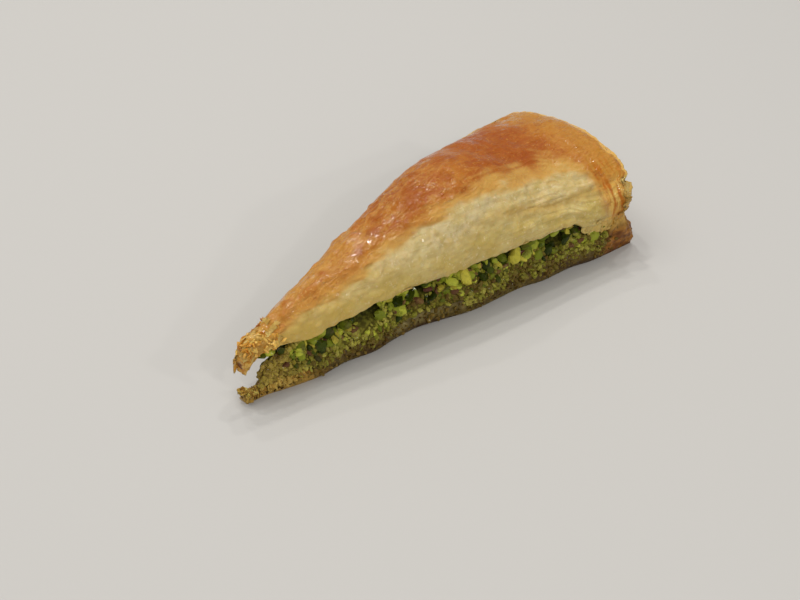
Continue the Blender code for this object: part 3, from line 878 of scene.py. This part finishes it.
# What the colour follows, over the rings and then for the points inside the two ends
FIELDS = {
    "crust": (crust, 0.8, 0.85), "browned": (np.maximum(tip, rim), 1.0, 1.0), "golden": (golden, 1.0, 0.8),
    "brown": (ease(brown, 0.0, 0.34), 0.6, 0.6), "torn": (torn_tip * seen, 0.6, 0.0),
    "on_cut": (cut_side, 1.0, 1.0), "upper": (ease(top_within, 0.55, 0.75), 0.5, 0.5),
    "crease": (bump(top_within, 1.0, 0.13) * ease(top_reach, 85, 25), 0.0, 0.0),
    "blister": (blisters * crust, 0.0, 0.0), "scorch": (scorch, 0.0, 0.0),
    "crinkle": (np.clip(wrinkles - 0.75, 0, 1) * 4, 0.0, 0.0), "toward_rim": (top_reach / TOP_END, 0.0, 1.0),
}
for name, (field, *at_ends) in FIELDS.items():
    at_ends = np.repeat(at_ends, (TOP_ROWS - 2) * TOP_COLUMNS)
    remember(top, name, np.concatenate([np.broadcast_to(field, top_lay.shape).ravel(), at_ends]))
# The position along the slice and round it, for noise that follows the leaves
lay = np.stack(np.broadcast_arrays(top_reach, top_lay, 0.0), axis=-1).reshape(-1, 3)
lay = np.concatenate([lay, top_points[len(lay):]]) * MM
lay_of_leaves = top.data.attributes.new("lay", "FLOAT_VECTOR", "POINT")
lay_of_leaves.data.foreach_set("vector", lay.astype(np.float32).ravel())


def burnt(where):
    """1 on one burnt spot at the very end of the point, 0 elsewhere."""
    ember = tuple(place(0.6, 0.1, 15.6) * MM)
    away = where.node("VectorMath", {"operation": "DISTANCE"}, {0: where, 1: ember}, output=1)
    return 1 - (away + (where.speckle(1.0) - 0.5) * (2 * MM)).above(0.9 * MM, 0.9 * MM)


top_food, top_shader, where = food("puffed_pastry", 0.4, 0.08, 0.2, (0.003, 0.0015, 0.0006), shine=0.19)
flow = where.stored("lay", output=1)
to_rim, is_crust, upper = where.stored("toward_rim"), where.stored("crust"), where.stored("upper")
torn, on_cut = where.stored("torn"), where.stored("on_cut")

# Cream cut: pale above, yellower below, golden towards the point, ochre in the creases
puffs = where.speckle(3.6, detail=4, roughness=0.6).above(0.38, 0.26)
patches = where.speckle(9).above(0.36, 0.30)
flecks = where.speckle(1.5, roughness=0.7).above(0.56, 0.16)
threads = flow.speckle(1.3, stretch=(6, 0.8, 1)).above(0.5, 0.3)
shade = where.speckle(5.5, stretch=(1.5, 1, 1)).above(0.5, 0.2)
pores = where.speckle(2.0, detail=4, roughness=0.65).above(0.54, 0.14)
seams = flow.speckle(3.2, stretch=(9, 1, 1), detail=2).folded(9).above(0.2, 0.8)
cream = painted(upper.tint((0.53, 0.39, 0.11), (0.56, 0.42, 0.19)), [
    (to_rim.bell(0.52, 0.25) * upper * 0.7, (0.55, 0.45, 0.25)),
    (puffs * 0.55, (0.45, 0.31, 0.075)),
    (patches * 0.45, (0.58, 0.48, 0.22)),
    (shade * 0.5, (0.43, 0.32, 0.085)),
    (pores * 0.5, (0.4, 0.28, 0.065)),
    (threads * (0.08 + to_rim.above(0.55, 0.15) * 0.30), (0.68, 0.56, 0.32)),
    (flecks * 0.6, (0.72, 0.61, 0.37)),
    ((1 - to_rim.above(0.02, 0.42)) * 0.8, (0.52, 0.34, 0.065)),
    (where.stored("crease") * (1 - puffs * 0.5) * 0.8, (0.46, 0.28, 0.06)),
    (seams * patches * 0.5, (0.44, 0.3, 0.1)),
])
# Crust: golden, redder and darker in patches and on the blisters, paler where it is thin
toast = where.speckle(13, stretch=(1.6, 1, 1), detail=4).above(0.38, 0.24)
spots = where.speckle(3.4)
fine = where.speckle(1.3, detail=4, roughness=0.65)
ridge = where.speckle(4.5, stretch=(1.7, 1, 1)).folded(4)
dome = to_rim.bell(0.76, 0.28) * is_crust
busy = 1 - dome * 0.75
glaze = painted(toast.tint((0.46, 0.18, 0.019), (0.33, 0.088, 0.007)), [
    (to_rim.bell(0.45, 0.12) * 0.35, (0.31, 0.075, 0.006)),
    ((1 - to_rim.above(0.2, 0.26)) * 0.7, (0.45, 0.215, 0.036)),
    (to_rim.above(0.84, 0.10) * 0.5, (0.5, 0.24, 0.03)),
    (dome * 0.75, (0.31, 0.083, 0.007)),
    (ridge.above(0.1, 0.7) * spots.above(0.42, 0.2) * busy * 0.5, (0.54, 0.28, 0.06)),
    (where.stored("crinkle") * busy * 0.35, (0.54, 0.28, 0.06)),
    (where.stored("blister") * 0.5, (0.35, 0.09, 0.005)),
    (spots.above(0.56, 0.12) * 0.5, (0.29, 0.07, 0.005)),
    (fine.above(0.56, 0.12) * busy * 0.45, (0.54, 0.29, 0.07)),
    ((1 - fine.above(0.3, 0.10)) * busy * 0.45, (0.29, 0.068, 0.005)),
    (where.speckle(1.2, detail=2).above(0.62, 0.06) * 0.5, (0.58, 0.31, 0.08)),
])
glaze = dome.tint(glaze, (0.92, 0.7, 0.4), blend="MULTIPLY")
glaze = ((1 - where.stored("brown")) * 0.8).tint(glaze, (0.54, 0.31, 0.07))
# Rim and point: baked dry, translucent gold drawn down in orange streaks
drips = flow.speckle(2.6, stretch=(0.8, 4.5, 1)).above(0.4, 0.22) * on_cut
straw = torn * where.speckle(1.9, stretch=(2, 1, 1), detail=2).above(0.5, 0.12)
dry = painted(upper.tint((0.72, 0.48, 0.12), (0.46, 0.22, 0.032)), [
    (drips, (0.42, 0.125, 0.006)),
    (spots.above(0.5, 0.16) * on_cut * 0.5, (0.29, 0.09, 0.01)),
    (torn * 0.7, (0.5, 0.26, 0.042)),
    (straw * 0.8, (0.64, 0.44, 0.14)),
])
surface = painted(cream, [
    (where.stored("golden"), glaze),
    (where.stored("browned") * 0.85, dry),
    # Painted light: the rim's end face stands in shade, so it is painted brighter gold as if lit through its
    # thin leaves
    (to_rim.above(0.985, 0.012) * 0.6, (0.8, 0.5, 0.13)),
    (where.stored("scorch") * 0.85, (0.3, 0.07, 0.002)),
    (burnt(where) * 0.9, (0.1, 0.018, 0.006)),
])
# Syrup lies in wet patches, in a film that folds and swells over the crust
wet = where.speckle(5, detail=2).above(0.4, 0.25)
fold = where.speckle(1.8, stretch=(2, 1, 1), detail=0.5).folded(3)
film = fold.above(0.0, 1.0) * 0.6 + where.speckle(2.8, detail=0.0) * 1.5
grain = (fine * 0.6 + where.speckle(0.8, detail=2) * 0.4) * (1 - is_crust * 0.85)
height = grain + (film + ridge.above(0.0, 1.0) * (1 - dome * 0.6) * 0.5) * is_crust
roughness = 0.48 - wet * (is_crust * 0.41 - dome * 0.16 + 0.04) + fine * 0.02
finish(top_shader, surface, roughness, height, 0.2)
syrup = wet * (0.2 + is_crust * 0.06 - dome * 0.1) + 0.03
top_food.node_tree.links.new(syrup.socket, top_shader.inputs["Coat Weight"])
top.data.materials.append(top_food)
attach(top, "root")
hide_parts("top_pastry")

# ------------------------------------------------------------
# Loose leaves.  Baked leaves are paper-thin and brittle, so they peel, break back in steps at
# the point, fray at the rim and hang over the nuts where the knife dragged them.
FLAKE_GRID = (18, 12)
# Where they are: how many, reach, half length, turn and half turn in degrees, lift at the start
# and at the end, tone from brown 0 to cream 1, and tilt in radians
FLAKE_GROUPS = [
    (64, (0.3, 14), (1.0, 2.6), (4, 85), (5, 13), (0.05, 0.2), (0.0, 0.15), (0.2, 1.0), 0.06),
    (30, (161.5, 164.4), (0.8, 1.8), (4, 30), (4.0, 10.0), (0.0, 0.1), (0.0, 0.4), (0.45, 1.0), 0.1),
    (10, (14, 148), (1.0, 2.6), (1.0, 4.0), (1.5, 3.0), (0.0, 0.1), (0.0, 0.15), (0.85, 1.0), 0.0),
]
# Leaves hanging in the near cut: reach, half length, height, half height and tone
HANGING = [(146.5, 4.0, 15.4, 3.4, 0.95), (151.0, 3.0, 14.8, 3.2, 0.8), (154.5, 2.4, 15.6, 2.8, 0.6),
           (143.0, 2.6, 16.6, 2.6, 1.0), (157.5, 2.0, 16.8, 2.2, 0.4)]


def flake(surface, along, over, lift, thickness, seed, tilt=0.0):
    """Points and quads of one ragged leaf that follows a surface given by two coordinates.

    along and over are (middle, half size) of the two.  The outline is a rounded rectangle frayed
    by noise, and lift is the height over the surface at its start and at its end.  tilt, in
    radians, is the most that the leaf may be turned about its middle, any way.
    """
    u, v = np.meshgrid(*(np.linspace(-1, 1, count) for count in FLAKE_GRID), indexing="ij")
    fray = np.stack([u * 2.2, v * 2.2, 0 * u + seed * 0.37], axis=-1)
    rounder = 1 - 0.25 * u ** 2 * v ** 2
    wide = u * (1 + roughs(fray, (0.3, 0.5, 101), (0.18, 0.2, 102))) * rounder
    tall = v * (1 + roughs(fray, (0.3, 0.5, 103), (0.18, 0.2, 104))) * rounder
    points = surface(along[0] + along[1] * wide, over[0] + over[1] * tall)
    normal = np.cross(np.gradient(points, axis=0), np.gradient(points, axis=1))
    normal /= np.maximum(np.linalg.norm(normal, axis=-1, keepdims=True), 1e-6)
    share = (u + 1) / 2
    rise = lift[0] * (1 - share) ** 2 + lift[1] * share ** 2 + 0.12 * rough(points, 1.5, seed)
    edge = thickness * (0.35 + 0.65 * np.sqrt(np.clip((1 - u ** 2) * (1 - v ** 2), 0, 1)))
    sheets = [points + normal * (rise + side * edge / 2)[..., None] for side in (1, -1)]
    if tilt:
        axis = np.random.default_rng(seed).uniform(-tilt, tilt, 3)
        middle = points.mean(axis=(0, 1))
        turn_by = np.array(Matrix.Rotation(np.linalg.norm(axis), 3, Vector(axis)))
        sheets = [(sheet - middle) @ turn_by.T + middle for sheet in sheets]
    table = np.arange(u.size).reshape(u.shape)
    face = quads_of(table)
    loop = np.concatenate([table[:-1, 0], table[-1, :-1], table[:0:-1, -1], table[0, :0:-1]])
    following = np.roll(loop, -1)
    hem = np.stack([loop, loop + u.size, following + u.size, following], axis=-1)
    return np.concatenate(sheets).reshape(-1, 3), np.concatenate([face, face[:, ::-1] + u.size, hem])


def flakes(name, made):
    """One mesh from many flakes, each with its tone, kept inside the slice's own outer size."""
    clouds, tables, tones = zip(*made)
    size = len(clouds[0])
    points = np.clip(np.concatenate(clouds), np.array(cad_low) / MM + 0.06, np.array(cad_high) / MM - 0.06)
    piece = mesh_of(name, points, *(table + number * size for number, table in enumerate(tables)))
    remember(piece, "tone", np.repeat(tones, size))
    return piece


def near_surface(reach, turn):
    return puffed(reach, np.radians(np.clip(turn, 0.5, 89.5)), -1.0)[0]


def far_surface(reach, turn):
    """Counts the turn down from the crown, so that a flake's outer face still faces out."""
    return puffed(reach, np.radians(np.clip(-turn, 0.5, 89.5)), 1.0)[0]


def base_surface(reach, span):
    return across_base(reach, span, base_crown(reach, span))


def hanging_surface(reach, height):
    """Upright sheet in the near cut."""
    return place(reach, -1.0, height, 0.5 * ripple(reach, 121, 5) - 0.4)


def leaf_food(name, *tones):
    """Baked leaf, whose three tones go from brown to cream from piece to piece."""
    material, shader, where = food(name, 0.25, 0.12, 0.25, (0.002, 0.001, 0.0004))
    colour = painted(where.stored("tone").ramp(dict(zip((0.0, 0.5, 1.0), tones))), [
        (where.speckle(1.8, detail=4).above(0.45, 0.25) * 0.25, (0.42, 0.19, 0.024)),
        (burnt(where) * 0.9, (0.1, 0.018, 0.006)),
    ])
    finish(shader, colour, 0.4, where.speckle(1.0), 0.1)
    return material


random = np.random.default_rng(105)
made = []
for number, (at_reach, half_reach, at_height, half_height, tone) in enumerate(HANGING):
    made.append((*flake(hanging_surface, (at_reach, half_reach), (at_height, half_height), (0.1, 0.3), 0.25,
                        300 + number), tone))
for how_many, middles, lengths, turns, turn_sizes, starts, ends, tones, tilt in FLAKE_GROUPS:
    for number in range(how_many):
        sign, surface = (-1, near_surface) if number % 2 else (1, far_surface)
        along = random.uniform(*middles), random.uniform(*lengths)
        over = -sign * random.uniform(*turns), random.uniform(*turn_sizes)
        lift = random.uniform(*starts), random.uniform(*ends)
        tone = random.uniform(*tones)
        made.append((*flake(surface, along, over, lift, 0.22, 110 + len(made), tilt), tone))
loose = flakes("loose_leaves", made)
loose.data.materials.append(
    leaf_food("loose_leaf", (0.36, 0.135, 0.015), (0.48, 0.245, 0.038), (0.62, 0.42, 0.12)))
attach(loose, "root")

made = []
for number in range(24):
    middle = random.uniform(0.5, 9)
    lift = random.uniform(0.2, 0.9), random.uniform(0.0, 0.3)
    along = middle, random.uniform(1.0, 2.2)
    over = random.uniform(-0.85, 0.7), random.uniform(0.2, 0.45)
    made.append((*flake(base_surface, along, over, lift, 0.4, 220 + number, 0.4), number % 8 / 7))
base_loose = flakes("loose_base_leaves", made)
base_loose.data.materials.append(
    leaf_food("loose_base_leaf", (0.3, 0.14, 0.018), (0.46, 0.29, 0.05), (0.6, 0.48, 0.1)))
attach(base_loose, "root")

# ------------------------------------------------------------
# Shards.  The baked leaves shatter at the point under the knife, and their bits stick all over
# it in the syrup.
SHARD_SINK = 0.35
random = np.random.default_rng(131)
reach, turn = 1.4 + 14 * random.uniform(0, 1, 150) ** 1.4, random.uniform(3, 84, 150)
shard_centres = np.concatenate([near_surface(reach[:90], turn[:90]), far_surface(reach[90:], -turn[90:])])
shard_food = leaf_food("leaf_shard", (0.34, 0.1, 0.008), (0.56, 0.24, 0.024), (0.74, 0.45, 0.1))
shards = chopped("leaf_shards", shard_centres - (0, 0, SHARD_SINK), (1.6, 4.6), (1.0, 0.6, 0.25), 132,
                 shard_food, CRUMB_GRID, 8)
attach(shards, "root")

# ------------------------------------------------------------
# Table, light and camera, in metres.  A plain pale table under soft daylight from above and the
# left, with a few small ceiling lamps that glint on the syrup.
FLOOR_HALF = 8.0
# Lamps: name, places, height that they aim at, width, power, and whether the syrup mirrors them
LAMPS = [
    ("window", [(-0.5, 0.5, 1.3)], 0, 0.8, 4.6, False),
    ("room_fill", [(-0.7, -0.9, 0.8)], 0.02, 0.9, 4.6, False),
    ("small_lamp", [(0.15, 0.55, 1.2), (0.55, 0.5, 1.2), (0.5, 0.1, 1.2), (-0.1, 0.4, 1.2), (0.35, 0.9, 1.2),
                    (0.3, -1.2, 0.8), (-0.2, -1.1, 1.0)], 0, 0.052, 1.7, True),
    ("shaded_lamp", [(-0.2, 0.75, 1.2), (0.1, 0.1, 1.2), (-0.55, 0.1, 1.2)], 0, 0.14, 0.5, True),
]
AIM, CAMERA_AT = Vector((-0.0074, 0.0024, 0.0)), Vector((-0.31156, -0.30146, 0.33716))
CAMERA_ROLL = math.radians(0.43)

floor_mesh = bpy.data.meshes.new("table_top")
floor_mesh.from_pydata([(side * FLOOR_HALF, end * FLOOR_HALF, 0) for side, end in
                        ((-1, -1), (1, -1), (1, 1), (-1, 1))], [], [(0, 1, 2, 3)])
floor = bpy.data.objects.new("table_top", floor_mesh)
bpy.context.scene.collection.objects.link(floor)
cloth = bpy.data.materials.new("pale_cloth")
cloth.use_nodes = True
cloth.node_tree.nodes["Principled BSDF"].inputs["Base Color"].default_value = (0.51, 0.495, 0.468, 1.0)
cloth.node_tree.nodes["Principled BSDF"].inputs["Roughness"].default_value = 0.9
floor_mesh.materials.append(cloth)

world = bpy.data.worlds.new("room")
bpy.context.scene.world = world
world.use_nodes = True
world.node_tree.nodes["Background"].inputs["Color"].default_value = (1.0, 0.99, 0.98, 1.0)
world.node_tree.nodes["Background"].inputs["Strength"].default_value = 0.36

for name, spots, aim, width, watts, mirrored in LAMPS:
    data = bpy.data.lights.new(name, "AREA")
    data.size, data.energy, data.color = width, watts, (1.0, 0.99, 0.975)
    for spot in spots:
        lamp = bpy.data.objects.new(name, data)
        lamp.location = spot
        lamp.rotation_euler = (Vector((0, 0, aim)) - Vector(spot)).to_track_quat("-Z", "Y").to_euler()
        lamp.visible_glossy = mirrored
        bpy.context.scene.collection.objects.link(lamp)

camera_data = bpy.data.cameras.new("camera")
camera_data.sensor_width, camera_data.lens, camera_data.clip_start = 36, 68.39, 0.01
camera = bpy.data.objects.new("camera", camera_data)
turn_to = (AIM - CAMERA_AT).to_track_quat("-Z", "Y").to_matrix() @ Matrix.Rotation(CAMERA_ROLL, 3, "Z")
camera.matrix_world = Matrix.Translation(CAMERA_AT) @ turn_to.to_4x4()
bpy.context.scene.collection.objects.link(camera)
bpy.context.scene.camera = camera
bpy.context.scene.view_settings.view_transform = "Standard"
